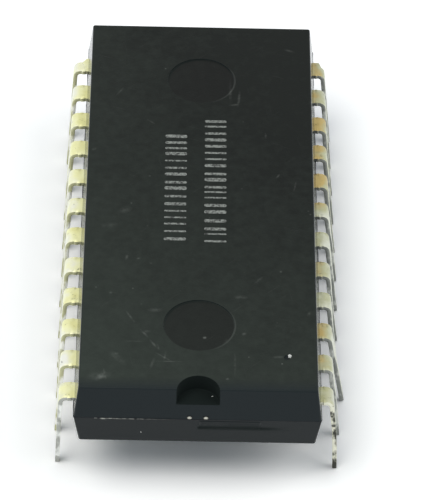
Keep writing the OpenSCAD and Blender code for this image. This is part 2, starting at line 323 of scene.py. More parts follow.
@dataclass(frozen=True)
class MouldedEpoxy:
    """Black silica-filled epoxy compound, transfer moulded in a spark-eroded steel mould.

    The eye gets a deep green-grey with a dull top. The drafted walls were drawn smooth when the mould opened,
    and the two long ones mirror the paper and the leads. The walls are painted lighter and bluer than the top
    for the dim cool light that reaches them, the lower half darker as painted shade, and the rounded rims
    dark and without sheen as painted shade. Handling has left scratches, dust and rubbed patches; the top
    turns lighter towards the notched end and on the left, and fades into the wall colour by the notched edge
    as the painted shade of a rounded edge. The ejector pins left two darker discs, each with a painted
    highlight on its right rim and painted shade inside its left rim. The notch is painted in shade, and the
    broken gate is rough, has no sheen and is painted darker towards its foot, with a line under it that is
    partly a mould mark and partly painted shadow.
    """

    colour: str = "#0B110E"
    # The walls are painted a lighter, bluer colour than the top for the dim cool light that reaches them, and
    # the lower half darker, as painted shade.
    wall: str = "#1D2528"
    lower_wall_painted_shade: str = "#181F21"
    # Colour of the painted shade in the notch, on the gate, on the rounded rims and inside the discs' left
    # rims.
    recess: str = "#1A201F"
    rubbed: str = "#3A423C"
    # Colour of dust, scratches and scuffs, and of the painted highlight on the discs' right rims.
    dust_and_rim_highlight: str = "#8F938E"
    disc: str = "#070908"
    roughness: float = 0.45
    wall_roughness: float = 0.24
    ior: float = 1.52
    specular: float = 0.12
    side_specular: float = 0.5
    side_roughness: float = 0.15
    # Sheen and roughness of the places painted in shade.
    shade_specular: float = 0.05
    shade_roughness: float = 0.85
    polish: float = 0.12  # how much roughness a cloud of rubbing takes away
    fall: float = 1.9  # power by which the top's lightening falls off from the notched end and from the left
    scratch_share: float = 0.06  # how far a scratch goes to the colour of dust
    scuff_gain: float = 1.6  # makes up for what the noise takes from a scuff
    edge_shade_span: tuple[float, float] = (0.2, 1.2)  # mm from the notched edge over which the top fades into the wall colour, as painted shade of a rounded edge
    grain: float = 0.11  # mm between the pits of the sparked mould, coarser than the real ones so as to show
    cloud: float = 3.5  # mm across one cloud of rubbing
    mottle: float = 0.45
    scratch_width: float = 0.05
    scratch_length: float = 2.6
    endless: float = 1000.0  # stretch along Z that lets a mark reach through the body
    speck_cell: float = 0.95  # mm between specks of dust
    speck_radius: float = 0.05
    speck_share: float = 0.36  # how far the palest speck goes to the colour of dust
    patch_share: float = 0.09  # how far the clouds of rubbing go to the rubbed colour
    mottle_share: tuple[float, float] = (-0.07, 0.1)
    end_lightening: tuple[float, float] = (-0.05, 0.45)  # lightening of the top at the far end, and how much more at the notched one
    side_lightening: tuple[float, float] = (-0.03, 0.25)  # the same for the right and the left
    disc_share: float = 0.6
    # Painted highlight on the discs' right rims, and painted shade inside their left rims.
    disc_rim_highlight: float = 0.09
    disc_shade: float = 0.55
    disc_radius: float = 2.0
    disc_places: float = 10.525
    half_length: float = 15.875
    half_width: float = 6.985
    parting: float = 5.73018
    skin: float = 2.08  # height of the flat faces above or below the parting line, less the depth of a mark
    draft: float = 7.6
    notch: tuple[float, float] = (-15.745, 1.23)  # place of its axis along Y, and radius
    notch_floor: float = 6.82
    mark_and_shadow_line: tuple[float, float, float] = (0.0, 5.4, 4.97)  # ends in X, and height, of the line under the gate, partly a mould mark and partly painted shadow
    smear_width: float = 0.3  # mm to either side of the line
    smear_fade: float = 1.5  # mm in which it fades at its right end
    smear_share: float = 0.85
    end_zone: float = 0.95  # mm from the notched edge that the end wall lies within
    gate_shade: tuple[float, float] = (0.15, 0.8)  # painted shade on the gate at its top and at its foot
    scuffs: tuple[Scuff, ...] = tuple(starmap(Scuff, (
        (-3.9, -9.95, -61, 0.6, 0.09, 0.11), (-3.1, -11.25, -53, 0.45, 0.1, 0.12),
        (-2.55, -12.1, -57, 0.5, 0.1, 0.1), (-1.98, -13.1, -36, 0.6, 0.08, 0.1),
        (-1.65, -13.45, 0, 0.9, 0.07, 0.08), (-2.6, -13.6, 75, 0.5, 0.12, 0.07),
        (2.3, 8.9, 85, 0.8, 0.1, 0.1), (2.05, 8.35, 10, 0.4, 0.1, 0.09), (-4.4, -1.1, 25, 0.5, 0.3, 0.06),
        (5.6, 1.2, 80, 0.5, 0.08, 0.07), (3.9, 5.6, 95, 0.3, 0.08, 0.09), (-4.9, 9.4, 60, 0.5, 0.08, 0.07),
        (-3.0, 6.7, -40, 0.35, 0.07, 0.08), (3.4, -6.8, 50, 0.5, 0.1, 0.06),
        (-4.22, -5.08, 80, 0.25, 0.12, 0.1), (-3.52, -5.16, 20, 0.15, 0.1, 0.1),
        (-5.06, -8.02, 30, 0.12, 0.1, 0.12), (-4.61, -12.89, 0, 0.15, 0.12, 0.12),
        (-5.45, -14.73, 45, 0.45, 0.22, 0.14), (1.61, -14.74, 20, 0.14, 0.1, 0.12),
        (2.38, -8.21, 0, 0.45, 0.18, 0.08), (1.54, -11.67, 60, 0.35, 0.12, 0.08),
        (-2.81, -5.55, 0, 0.1, 0.1, 0.12), (-3.0, -11.11, 10, 0.3, 0.15, 0.07),
        (-2.29, -12.35, 100, 0.3, 0.08, 0.08), (-1.9, -13.0, 80, 0.4, 0.08, 0.08),
        (4.69, -6.05, 0, 0.1, 0.12, 0.1), (-3.68, -11.9, 0, 0.7, 0.08, 0.05),
        (-2.5, -9.36, 0, 0.5, 0.2, 0.08), (-5.6, -14.7, 20, 0.9, 0.4, 0.06),
        (-5.25, -14.5, 100, 0.5, 0.1, 0.1), (2.04, -13.55, 90, 1.1, 0.09, 0.06),
        (2.55, -11.17, 30, 0.17, 0.13, 0.12), (0.32, -11.47, 0, 0.12, 0.12, 1.0),
        (6.26, -9.47, 60, 0.2, 0.12, 0.14), (-5.3, -2.4, 10, 0.6, 0.25, 0.05),
        (1.78, 9.6, 90, 1.3, 0.12, 0.08), (5.4, 13.45, -20, 0.4, 0.12, 0.07),
        (-6.35, 4.15, 40, 0.2, 0.12, 0.1), (-4.6, -13.2, -50, 0.9, 0.25, 0.05),
        (4.6, 2.05, 60, 0.25, 0.08, 0.09), (4.5, -12.95, 5, 0.5, 0.12, 0.07))))

    def material(self) -> Material:
        """Returns the material."""
        nodes = SurfaceNodes("epoxy_compound_transfer_moulded")
        _, _, z = nodes.axes
        level = nodes.add("Math", z, self.parting, operation="SUBTRACT")
        depth = nodes.add("Math", level, operation="ABSOLUTE")
        flat = self.flat_faces(nodes, depth)
        clouds = nodes.add("TexNoise", nodes.place, Scale=1 / self.cloud, Detail=5.0, Roughness=0.65)
        rubbed = self.rubbed_body(nodes, clouds, flat)
        scratches = self.scratches(nodes, flat)
        faint = nodes.add("Math", scratches, self.scratch_share, operation="MULTIPLY")
        worn = nodes.add("Math", self.scuffed(nodes, flat), faint, operation="ADD")
        dusty = nodes.add("Mix", worn, rubbed, self.dust_and_rim_highlight, data_type="RGBA")
        discs_with_painted_rim_highlight, shaded = self.ejector_discs(nodes, dusty, flat)
        recess = self.recesses(nodes, depth)
        facing = nodes.add("VectorMath", nodes.coords["Normal"], operation="ABSOLUTE")
        faced = nodes.add("SeparateXYZ", facing).node.outputs
        side = nodes.add("MapRange", faced[0], 0.8, 0.98)
        # Rounded rims between the flat faces and the walls: painted dark and without sheen, as shade that
        # hides the light line they catch.
        upright = nodes.add("MapRange", faced[2], 0.4, 0.6)
        sloped = nodes.add("MapRange", faced[2], 0.99, 0.9, 0.0, 0.3)
        rim = nodes.add("Math", upright, sloped, operation="MULTIPLY")
        rim_shade = nodes.add("Math", shaded, rim, operation="MAXIMUM")
        # Painted shade: the notch, the gate and the line under it, the rounded rims and the discs' left rims
        # take the recess colour and lose their sheen.
        dark = nodes.add("Math", rim_shade, recess, operation="MAXIMUM")
        colour = nodes.add("Mix", dark, discs_with_painted_rim_highlight, self.recess, data_type="RGBA")
        gloss = nodes.add("MapRange", side, 0, 1, self.specular, self.side_specular)
        sheen = nodes.add("Mix", dark, gloss, self.shade_specular)

        # Grain of the mould, and a roughness that falls on the walls and where hands have rubbed
        pits = nodes.add("TexNoise", nodes.place, Scale=1 / self.grain, Detail=3.0, Roughness=0.6)
        relief = nodes.add("Math", pits, scratches, operation="SUBTRACT")
        bump = nodes.add("Bump", Strength=0.3, Distance=0.02 * MM, Height=relief)
        dull = nodes.add("MapRange", flat, 0, 1, self.wall_roughness, self.roughness)
        rough = nodes.add("Math", clouds, -self.polish, dull, operation="MULTIPLY_ADD")
        sleek = nodes.add("Mix", side, rough, self.side_roughness)
        shade_rough = nodes.add("Mix", dark, sleek, self.shade_roughness)
        return nodes.material({"Base Color": colour, "Specular IOR Level": sheen, "Roughness": shade_rough,
                               "Normal": bump, "IOR": self.ior})

    def flat_faces(self, nodes: SurfaceNodes, depth: NodeSocket) -> NodeSocket:
        """Finds the flat faces.

        Args:
            nodes: The nodes of the material.
            depth: Distance from the parting line.

        Returns:
            1 on the flat faces, fading towards the notched edge as painted shade of a rounded edge, and 0 on
            the walls and in the notch.
        """
        facing = nodes.add("SeparateXYZ", nodes.coords["Normal"]).node.outputs[2]
        flatness = nodes.add("Math", facing, operation="ABSOLUTE")
        level = nodes.add("MapRange", flatness, 0.7, 0.97)
        outer = nodes.add("MapRange", depth, self.skin - 0.1, self.skin)
        skin = nodes.add("Math", level, outer, operation="MULTIPLY")
        _, y, _ = nodes.axes
        # Painted shade: the top fades into the wall colour towards the notched edge, as a rounded edge would
        # shade.
        first, last = (fade - self.half_length for fade in self.edge_shade_span)
        beyond_edge_shade = nodes.add("MapRange", y, first, last)
        return nodes.add("Math", skin, beyond_edge_shade, operation="MULTIPLY")

    def rubbed_body(self, nodes: SurfaceNodes, clouds: NodeSocket, flat: NodeSocket) -> NodeSocket:
        """Colours the body, with rubbed patches, and a top that turns lighter towards the notched end and on
        the left.

        Args:
            nodes: The nodes of the material.
            clouds: Noise that the patches of rubbing follow.
            flat: 1 on the flat faces.

        Returns:
            The colour.
        """
        x, y, z = nodes.axes
        patches = nodes.add("MapRange", clouds, 0.35, 0.75, 0.0, self.patch_share)
        fine = nodes.add("TexNoise", nodes.place, Scale=1 / self.mottle, Detail=4.0)
        mottle = nodes.add("MapRange", fine, 0.3, 0.75, *self.mottle_share)
        total = nodes.add("Math", patches, mottle, operation="ADD")
        # The top turns lighter towards the notched end and towards the left.
        ways = (y, self.half_length, self.end_lightening), (x, self.half_width, self.side_lightening)
        for axis, half, (least, most) in ways:
            run = nodes.add("MapRange", axis, half, -half)
            worn = nodes.add("Math", run, self.fall, operation="POWER")
            raised = nodes.add("MapRange", worn, 0, 1, least, least + most)
            total = nodes.add("Math", total, raised, operation="ADD")
        share = nodes.add("Math", total, flat, operation="MULTIPLY", use_clamp=True)
        # Walls in their painted colours: lighter and bluer than the top, and darker on the lower half as
        # painted shade.
        upper = nodes.add("Math", z, self.parting, operation="GREATER_THAN")
        wall = nodes.add("Mix", upper, self.lower_wall_painted_shade, self.wall, data_type="RGBA")
        clean_body = nodes.add("Mix", flat, wall, self.colour, data_type="RGBA")
        return nodes.add("Mix", share, clean_body, self.rubbed, data_type="RGBA")

    def scratches(self, nodes: SurfaceNodes, flat: NodeSocket) -> NodeSocket:
        """Draws fine scratches on the flat faces: long thin stretches of noise in three directions.

        Args:
            nodes: The nodes of the material.
            flat: 1 on the flat faces.

        Returns:
            1 on a scratch, and 0 beside it.
        """
        marks = []
        for turn, seed in ((12, 3.0), (-47, 11.0), (71, 23.0)):
            lay = nodes.add(
                "Mapping", nodes.place, (seed, seed * 2, 0), (0, 0, math.radians(turn)),
                (self.scratch_width, self.scratch_length, self.endless), vector_type="TEXTURE")
            lines = nodes.add("TexNoise", lay, Scale=1.0, Detail=1.0)
            marks.append(nodes.add("MapRange", lines, 0.74, 0.85))
        first, second, third = marks
        pair = nodes.add("Math", first, second, operation="MAXIMUM")
        lot = nodes.add("Math", pair, third, operation="MAXIMUM")
        return nodes.add("Math", lot, flat, operation="MULTIPLY")

    def scuffed(self, nodes: SurfaceNodes, flat: NodeSocket) -> NodeSocket:
        """Scatters specks of dust over the flat faces, and adds the scuffs.

        Args:
            nodes: The nodes of the material.
            flat: 1 on the flat faces.

        Returns:
            How far each point goes to the colour of dust.
        """
        cells = nodes.add("TexVoronoi", nodes.place, Scale=1 / self.speck_cell)
        radius = self.speck_radius / self.speck_cell
        near = nodes.add("MapRange", cells, radius * 1.4, radius * 0.6)
        tint = nodes.add("SeparateColor", cells.node.outputs["Color"])
        chance = nodes.add("MapRange", tint, 0.45, 1.0, 0.0, self.speck_share)
        total = nodes.add("Math", near, chance, operation="MULTIPLY")
        for scuff in self.scuffs:
            own = nodes.add(
                "Mapping", nodes.place, (scuff.x, scuff.y, 0), (0, 0, math.radians(scuff.turn)),
                (scuff.length, scuff.width, self.endless), vector_type="TEXTURE")
            spot = nodes.add("TexGradient", own, gradient_type="SPHERICAL").node.outputs[1]
            strength = self.scuff_gain * scuff.strength
            total = nodes.add("Math", spot, strength, total, operation="MULTIPLY_ADD")
        breaks = nodes.add("TexNoise", nodes.place, Scale=5.0, Detail=3.0)
        left_over = nodes.add("MapRange", breaks, 0.35, 0.6, 0.25, 1.2)
        broken = nodes.add("Math", total, left_over, operation="MULTIPLY")
        return nodes.add("Math", broken, flat, operation="MULTIPLY")

    def ejector_discs(self, nodes: SurfaceNodes, dusty: NodeSocket,
                      flat: NodeSocket) -> tuple[NodeSocket, NodeSocket]:
        """Darkens the marks of the ejector pins on the top, and paints light and shade on their rims.

        Args:
            nodes: The nodes of the material.
            dusty: Colour of the top with its dust.
            flat: 1 on the flat faces.

        Returns:
            The colour, with the discs and a painted highlight on their right rims, and the painted shade
            inside their left rims.
        """
        x, y, _ = nodes.axes
        end = nodes.add("Math", y, operation="SIGN")
        off = nodes.add("Math", end, -self.disc_places, y, operation="MULTIPLY_ADD")
        spread = nodes.add("CombineXYZ", x, off)
        reach = nodes.add("VectorMath", spread, operation="LENGTH")
        radius = self.disc_radius
        inside = nodes.add("MapRange", reach, radius + 0.02, radius - 0.06, 0.0, self.disc_share)
        disc = nodes.add("Math", inside, flat, operation="MULTIPLY")
        marked = nodes.add("Mix", disc, dusty, self.disc, data_type="RGBA")
        # Painted light on the rims: a highlight on the right, and shade inside on the left.
        right = nodes.add("VectorMath", spread, (0.95, -0.3, 0), operation="DOT_PRODUCT")
        left = nodes.add("VectorMath", spread, (-0.6, 0.8, 0), operation="DOT_PRODUCT")
        rim = nodes.add("Math", reach, radius + 0.05, 0.06, operation="COMPARE")
        lit = nodes.add("MapRange", right, 1.2, 2.0, 0.0, self.disc_rim_highlight)
        worn = nodes.add("Math", rim, lit, operation="MULTIPLY")
        discs_with_painted_rim_highlight = nodes.add("Mix", worn, marked, self.dust_and_rim_highlight, data_type="RGBA")
        under = nodes.add("Math", reach, radius - 0.04, 0.08, operation="COMPARE")
        painted_rim_shadow = nodes.add("MapRange", left, 0.9, 1.8, 0.0, self.disc_shade)
        return discs_with_painted_rim_highlight, nodes.add("Math", under, painted_rim_shadow, operation="MULTIPLY")

    def recesses(self, nodes: SurfaceNodes, depth: NodeSocket) -> NodeSocket:
        """Finds the places painted in shade: the notch, the broken gate, darker towards its foot,
        and the line under the gate, which is partly a mould mark and partly painted shadow.

        Args:
            nodes: The nodes of the material.
            depth: Distance from the parting line.

        Returns:
            How much painted shade each point gets, from 0 to 1.
        """
        x, y, z = nodes.axes
        middle, radius = self.notch
        own = nodes.add("VectorMath", nodes.place, (1, 1, 0), operation="MULTIPLY")
        away = nodes.add("VectorMath", own, (0, middle, 0), operation="DISTANCE")
        inside = nodes.add("MapRange", away, radius + 0.02, radius - 0.02)
        above = nodes.add("MapRange", z, self.notch_floor - 0.06, self.notch_floor - 0.02)
        notch = nodes.add("Math", inside, above, operation="MULTIPLY")
        out = nodes.add("Math", y, operation="ABSOLUTE")
        proud = nodes.add("Math", depth, math.tan(math.radians(self.draft)), out, operation="MULTIPLY_ADD")
        stub = nodes.add("MapRange", proud, self.half_length + 0.006, self.half_length + 0.014)
        # Painted shade on the gate, deepest at its foot.
        foot_shade = nodes.add("MapRange", depth, 0.4, 0.7, *self.gate_shade)
        gate = nodes.add("Math", stub, foot_shade, operation="MULTIPLY")
        # The line under the gate: partly a mould mark, partly painted shadow.
        first, last, height = self.mark_and_shadow_line
        across = nodes.add("MapRange", x, last, last - self.smear_fade)
        begun = nodes.add("Math", x, first, operation="GREATER_THAN")
        down = nodes.add("Math", z, height, operation="SUBTRACT")
        off_line = nodes.add("Math", down, operation="ABSOLUTE")
        on_line = nodes.add("MapRange", off_line, self.smear_width, 0.0, 0.0, self.smear_share)
        near_end = nodes.add("Math", y, self.end_zone - self.half_length, operation="LESS_THAN")
        mark_and_shadow_line = across
        for part in (begun, on_line, near_end):
            mark_and_shadow_line = nodes.add("Math", mark_and_shadow_line, part, operation="MULTIPLY")
        end_shade_and_marks = nodes.add("Math", gate, mark_and_shadow_line, operation="MAXIMUM")
        return nodes.add("Math", notch, end_shade_and_marks, operation="MAXIMUM")


@dataclass(frozen=True)
class ChippedEpoxy:
    """The same compound where it broke: the ends of its filler scatter light, so it shows pale and dull."""

    name: str = "epoxy_compound_broken"
    whole: str = "#23262A"
    pale: str = "#A6A8A2"
    chip: float = 0.3  # mm across one chip
    stretch: tuple[float, float] | None = None  # X in mm where it is palest and where it is dark

    def material(self) -> Material:
        """Returns the material."""
        nodes = SurfaceNodes(self.name)
        chips = nodes.add("TexNoise", nodes.place, Scale=1 / self.chip, Detail=4.0)
        share = nodes.add("MapRange", chips, 0.4, 0.56)
        if self.stretch:
            x, y, _ = nodes.axes
            palest, dark = self.stretch
            along = nodes.add("MapRange", x, dark, palest)
            fading = nodes.add("Math", along, 1.5, operation="POWER")
            near = nodes.add("Math", y, 0.0, operation="LESS_THAN")
            past = nodes.add("Math", x, palest, operation="GREATER_THAN")
            end = nodes.add("Math", near, past, operation="MULTIPLY")
            here = nodes.add("Math", fading, end, operation="MULTIPLY")
            share = nodes.add("Math", share, here, operation="MULTIPLY")
        colour = nodes.add("Mix", share, self.whole, self.pale, data_type="RGBA")
        bump = nodes.add("Bump", Strength=0.5, Distance=0.02 * MM, Height=chips)
        return nodes.material({"Base Color": colour, "Normal": bump, "Roughness": 0.8})


@dataclass(frozen=True)
class TarnishedTin:
    """Iron-nickel strip, hot-dipped in tin, sheared to shape, and yellowed by years in a drawer.

    The eye gets a pale metal with soft reflections that has turned straw and ochre, most of all by the body,
    where flux stayed and where the deeper colour also paints in the wall's shade. It has brown-black spots
    where the legs narrow, darker towards the tip, and grey edges where the press sheared through the tin into
    the strip, stained in runs and darker towards the pads, partly as painted shade on the pad fronts. The row
    on the right is painted in darker, greyer colours for the shade it lies in, and has tarnished further in
    places.
    """

    name: str = "tin_hot_dipped_on_iron_nickel"
    tin: str = "#F0F1E6"
    straw: str = "#F3F3C0"
    ochre: str = "#E9E7A6"
    oxide: str = "#33352F"
    sheared: str = "#F6F6EE"
    # Colour of the stains on the sheared edges, which also paints shade on the pad fronts.
    stain_and_shade: str = "#C2C29C"
    metallic: float = 0.7
    edge_metallic: float = 0.85
    roughness: float = 0.36
    age: float = 0.35  # share of the surface that has turned from tin to straw and ochre
    far_age: float = 0.0  # how much more of it has turned round far_place
    far_place: float = 7.0  # Y in mm
    stained: float = 0.35  # share of the sheared edges that is stained
    bend_stain_and_shade: float = 0.2  # how much more of them is stained towards the pads, partly stain and partly painted shade on the pad fronts
    body_tarnish_and_shade: float = 0.22  # how much further the tin has turned by the body, partly tarnish and partly painted shade of the wall
    leg_tarnish: float = -0.16  # and down the leg
    step_dirt: float = 0.03
    tip_darkening: float = 0.3
    spot_share: float = 0.8
    runs: tuple[float, float, float] = (2.2, 2.2, 0.9)  # stains per mm
    lump: float = 0.35  # mm across one ripple of the tin
    blotch: float = 0.5
    wall: float = 6.985
    flat: float = 5.73
    step: float = 3.95
    tip: float = 0.7

    def material(self) -> Material:
        """Returns the material."""
        nodes = SurfaceNodes(self.name)
        x, y, z = nodes.axes
        out = nodes.add("Math", x, operation="ABSOLUTE")

        # Tarnish: patches, deeper by the body, where it also paints in the wall's shade, and fainter down the
        # leg
        patches = nodes.add("TexNoise", nodes.place, Scale=0.9, Detail=3.0)
        by_body_tarnish_and_shade = nodes.add("MapRange", out, self.wall + 0.75, self.wall + 0.1, 0.0, self.body_tarnish_and_shade)
        on_leg = nodes.add("MapRange", z, self.flat, self.flat - 0.5, 0.0, self.leg_tarnish)
        more = nodes.add("Math", patches, by_body_tarnish_and_shade, operation="ADD")
        along = nodes.add("Math", y, self.far_place, operation="SUBTRACT")
        away = nodes.add("Math", along, operation="ABSOLUTE")
        beyond = nodes.add("MapRange", away, 6.3, 2.8, 0.0, self.far_age)
        most = nodes.add("Math", more, beyond, operation="ADD")
        tarnish = nodes.add("Math", most, on_leg, operation="ADD")
        turned = nodes.add("MapRange", tarnish, 0.72 - self.age, 0.98 - self.age)
        pale = nodes.add("Mix", turned, self.tin, self.straw, data_type="RGBA")
        deep = nodes.add("MapRange", tarnish, 0.98 - self.age, 1.2 - self.age)
        aged = nodes.add("Mix", deep, pale, self.ochre, data_type="RGBA")

        # Dark spots: most of them where the leg narrows, and darker towards the tip
        spots = nodes.add(
            "TexNoise", nodes.place, Scale=1 / self.blotch, Detail=4.0, Roughness=0.65, Distortion=0.4)
        from_step = nodes.add("Math", z, self.step, operation="SUBTRACT")
        off_step = nodes.add("Math", from_step, operation="ABSOLUTE")
        at_step = nodes.add("MapRange", off_step, 0.8, 0.2, 0.0, self.step_dirt)
        at_tip = nodes.add("MapRange", z, self.tip, self.tip * 0.5, 0.0, self.tip_darkening)
        step_and_tip_darkening = nodes.add("Math", at_step, at_tip, operation="ADD")
        fouled = nodes.add("Math", spots, step_and_tip_darkening, operation="ADD")
        dark = nodes.add("MapRange", fouled, 0.62, 0.72, 0.0, self.spot_share)
        blotched = nodes.add("Mix", dark, aged, self.oxide, data_type="RGBA")

        # Sheared edges face along the row of leads; their stain deepens towards the pads, partly as painted
        # shade on the pad fronts
        facing = nodes.add("SeparateXYZ", nodes.coords["Normal"]).node.outputs[1]
        sideways = nodes.add("Math", facing, operation="ABSOLUTE")
        edge = nodes.add("MapRange", sideways, 0.6, 0.9)
        runs = nodes.add("Mapping", nodes.place, Location=(3, 5, 7), Scale=self.runs)
        streaks = nodes.add("TexNoise", runs, Scale=1.0, Detail=4.0)
        by_bend_stain_and_shade = nodes.add("MapRange", z, self.flat - 0.7, self.flat, 0.0, self.bend_stain_and_shade)
        runs_and_bend_shade = nodes.add("Math", streaks, by_bend_stain_and_shade, operation="ADD")
        edge_stain_and_shade = nodes.add("Math", runs_and_bend_shade, step_and_tip_darkening, operation="ADD")
        share = nodes.add("MapRange", edge_stain_and_shade, 0.78 - self.stained, 0.92 - self.stained)
        shorn = nodes.add("Mix", share, self.sheared, self.stain_and_shade, data_type="RGBA")
        colour = nodes.add("Mix", edge, blotched, shorn, data_type="RGBA")
        lumps = nodes.add("TexNoise", nodes.place, Scale=1 / self.lump, Detail=3.0)
        bump = nodes.add("Bump", Strength=0.8, Distance=0.035 * MM, Height=lumps)
        rough = nodes.add("MapRange", spots, 0.3, 0.7, self.roughness - 0.1, self.roughness + 0.2)
        bare = nodes.add("MapRange", edge, 0, 1, self.metallic, self.edge_metallic)
        return nodes.material({"Base Color": colour, "Roughness": rough, "Normal": bump, "Metallic": bare})


@dataclass(frozen=True)
class PlainMetal:
    """An inner metal part that no tarnish has reached, with the fine lines of its rolling or drawing."""

    name: str
    colour: str
    deeper: str
    roughness: float
    line: float  # mm between the lines
    along: int = 1  # axis that the lines follow
    ends: tuple[float, float, float] | None = None  # middle in mm of a cut end that resin ran over
    bare: float = 0.1  # radius in mm that the resin leaves bare
    drawn: float = 30.0  # how much longer than wide the lines are
    resin: str = "#1C2022"

    def material(self) -> Material:
        """Returns the material."""
        nodes = SurfaceNodes(self.name)
        stretch = [1 / self.line] * 3
        stretch[self.along] /= self.drawn
        drawn = nodes.add("Mapping", nodes.place, Scale=stretch)
        lines = nodes.add("TexNoise", drawn, Scale=1.0, Detail=3.0)
        tone = nodes.add("MapRange", lines, 0.35, 0.7)
        colour = nodes.add("Mix", tone, self.colour, self.deeper, data_type="RGBA")
        if self.ends:
            folded = nodes.add("VectorMath", nodes.place, operation="ABSOLUTE")
            off = nodes.add("VectorMath", folded, self.ends, operation="DISTANCE")
            ring = nodes.add("MapRange", off, self.bare - 0.03, self.bare + 0.05)
            close = nodes.add("Math", off, 3 * self.bare, operation="LESS_THAN")
            covered = nodes.add("Math", ring, close, operation="MULTIPLY")
            colour = nodes.add("Mix", covered, colour, self.resin, data_type="RGBA")
        rough = nodes.add("MapRange", lines, 0, 1, self.roughness - 0.07, self.roughness + 0.07)
        bump = nodes.add("Bump", Strength=0.3, Distance=0.003 * MM, Height=lines)
        return nodes.material({"Base Color": colour, "Roughness": rough, "Normal": bump, "Metallic": 1.0})


@dataclass(frozen=True)
class SilverEpoxy:
    """Epoxy filled with silver flake, cured under the die: a pale grey paste that glints in grains."""

    paste: str = "#A5A5A0"
    flake: str = "#D8D8D4"
    flake_size: float = 0.02

    def material(self) -> Material:
        """Returns the material."""
        nodes = SurfaceNodes("silver_filled_epoxy_cured")
        cells = nodes.add("TexVoronoi", nodes.place, Scale=1 / self.flake_size)
        tint = nodes.add("SeparateColor", cells.node.outputs["Color"])
        colour = nodes.add("Mix", tint, self.paste, self.flake, data_type="RGBA")
        rough = nodes.add("MapRange", tint, 0, 1, 0.7, 0.35)
        bump = nodes.add("Bump", Strength=0.4, Distance=0.004 * MM, Height=tint)
        return nodes.material({"Base Color": colour, "Roughness": rough, "Normal": bump, "Metallic": 0.5})


@dataclass(frozen=True)
class PatternedSilicon:
    """Polished silicon with etched layers of oxide and metal: blue-grey blocks with a mirror sheen."""

    field: str = "#4A5266"
    block: str = "#7C8494"
    street: str = "#2C3040"
    block_size: float = 0.22

    def material(self) -> Material:
        """Returns the material."""
        nodes = SurfaceNodes("silicon_polished_and_etched")
        plan = nodes.add("Mapping", nodes.place, Scale=(1, 1, 0))
        size = 1 / self.block_size
        blocks = nodes.add("TexVoronoi", plan, Scale=size, Randomness=0.6, distance="CHEBYCHEV")
        tint = nodes.add("SeparateColor", blocks.node.outputs["Color"])
        fields = nodes.add("Mix", tint, self.field, self.block, data_type="RGBA")
        lanes = nodes.add("MapRange", blocks, 0.42, 0.5)
        colour = nodes.add("Mix", lanes, fields, self.street, data_type="RGBA")
        bump = nodes.add("Bump", Strength=0.3, Distance=0.001 * MM, Height=tint)
        return nodes.material({"Base Color": colour, "Normal": bump, "Metallic": 0.35, "Roughness": 0.14})


@dataclass(frozen=True)
class WornInk:
    """Thin pale stamping ink, cured on the epoxy and rubbed: chalky grey, with the black showing through."""

    ink: str = "#858984"
    under: str = "#232524"
    wear: float = 0.16  # mm across one rubbed place

    def material(self) -> Material:
        """Returns the material."""
        nodes = SurfaceNodes("stamping_ink_rubbed")
        lost = nodes.add("TexNoise", nodes.place, Scale=1 / self.wear, Detail=4.0, Roughness=0.7)
        mask = nodes.add("MapRange", lost, 0.44, 0.62)
        colour = nodes.add("Mix", mask, self.ink, self.under, data_type="RGBA")
        bump = nodes.add("Bump", Strength=0.3, Distance=0.006 * MM, Height=lost)
        return nodes.material({"Base Color": colour, "Normal": bump, "Roughness": 0.62})


@dataclass(frozen=True)
class WhitePaper:
    """White copier paper, calendered: an even sheet that takes soft shadows and hardly shows its fibres."""

    lit: str = "#E8E8E6"
    shown: tuple[float, float, float, float] = (1.25, 1.25, 1.25, 1.0)
    fibre: float = 0.25

    def material(self) -> Material:
        """Returns the material, which looks whiter than the light that it bounces on to the object."""
        nodes = SurfaceNodes("paper_calendered")
        fibres = nodes.add("TexNoise", nodes.place, Scale=1 / self.fibre, Detail=2.0)
        bump = nodes.add("Bump", Strength=0.15, Distance=0.01 * MM, Height=fibres)
        made = nodes.material({"Base Color": self.lit, "Roughness": 0.9, "Normal": bump})
        nodes.show("Principled BSDF", nodes.add("BsdfDiffuse", self.shown), "Material Output")
        return made


# The moulded body


def punch(name: str, place: tuple[float, float, float], radius: float, depth: float, half: Half,
          fillet: float, segments: int) -> Object:
    """Adds a cylinder that cuts a round recess into a flat face of the moulding. All sizes are in mm.

    Args:
        name: Name of the tool.
        place: Middle of the recess, in the face.
        radius: Its radius.
        depth: How deep it goes.
        half: The half that the face is on.
        fillet: How far the rim of its floor is rounded.
        segments: Number of steps of that rounding.

    Returns:
        The tool.
    """
    x, y, face = place
    middle = face + half.value * (PUNCH_REACH - depth) / 2
    bpy.ops.mesh.primitive_cylinder_add(vertices=96, radius=radius * MM, depth=(depth + PUNCH_REACH) * MM,
                                        location=(x * MM, y * MM, middle * MM))
    tool = added(name)
    floor = (face - half.value * depth) * MM
    with editing():
        select_parts(tool, "EDGE", lambda edge: all(abs(v.co.z - floor) < 1e-6 for v in edge.verts))
        bpy.ops.mesh.bevel(offset=fillet * MM, segments=segments, profile=0.5)
    return tool


